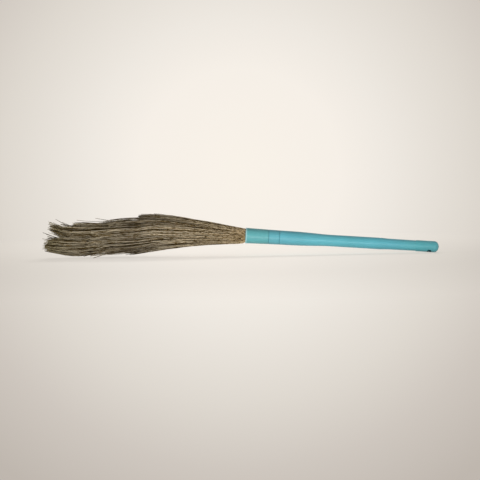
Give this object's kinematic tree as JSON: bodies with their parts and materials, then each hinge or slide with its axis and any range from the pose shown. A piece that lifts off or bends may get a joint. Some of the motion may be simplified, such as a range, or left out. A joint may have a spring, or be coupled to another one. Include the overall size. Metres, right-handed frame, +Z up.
{
  "type": "grass broom",
  "caption": "Hand broom of bound grass hanks fanning out of a plastic collar, on a tapered plastic tube handle with a holed end cap for hanging.",
  "frame": {"origin": "middle of the floor under the broom as it lies at rest on its grass and its end cap", "axes": "+X along the broom from the grass to the tip of the handle, +Z up, +Y across it"},
  "size_m": [1.1014, 0.1254, 0.121],
  "materials": {
    "turquoise_plastic": "satin",
    "dry_grass": "matte",
    "peg_wood": "matte",
    "galvanised_wire": "satin"
  },
  "bodies": {
    "root": {"binding_wire_1": "galvanised_wire", "binding_wire_2": "galvanised_wire", "binding_wire_3": "galvanised_wire", "collar": "turquoise_plastic", "core_peg": "peg_wood", "end_cap": "turquoise_plastic", "grass_hank_inner_1": "dry_grass", "grass_hank_inner_2": "dry_grass", "grass_hank_inner_3": "dry_grass", "grass_hank_inner_4": "dry_grass", "grass_hank_inner_5": "dry_grass", "grass_hank_inner_6": "dry_grass", "grass_hank_outer_01": "dry_grass", "grass_hank_outer_02": "dry_grass", "grass_hank_outer_03": "dry_grass", "grass_hank_outer_04": "dry_grass", "grass_hank_outer_05": "dry_grass", "grass_hank_outer_06": "dry_grass", "grass_hank_outer_07": "dry_grass", "grass_hank_outer_08": "dry_grass", "grass_hank_outer_09": "dry_grass", "grass_hank_outer_10": "dry_grass", "grass_hank_outer_11": "dry_grass", "grass_hank_outer_12": "dry_grass", "handle_tube": "turquoise_plastic", "lock_ring": "turquoise_plastic"}
  },
  "joints": []
}
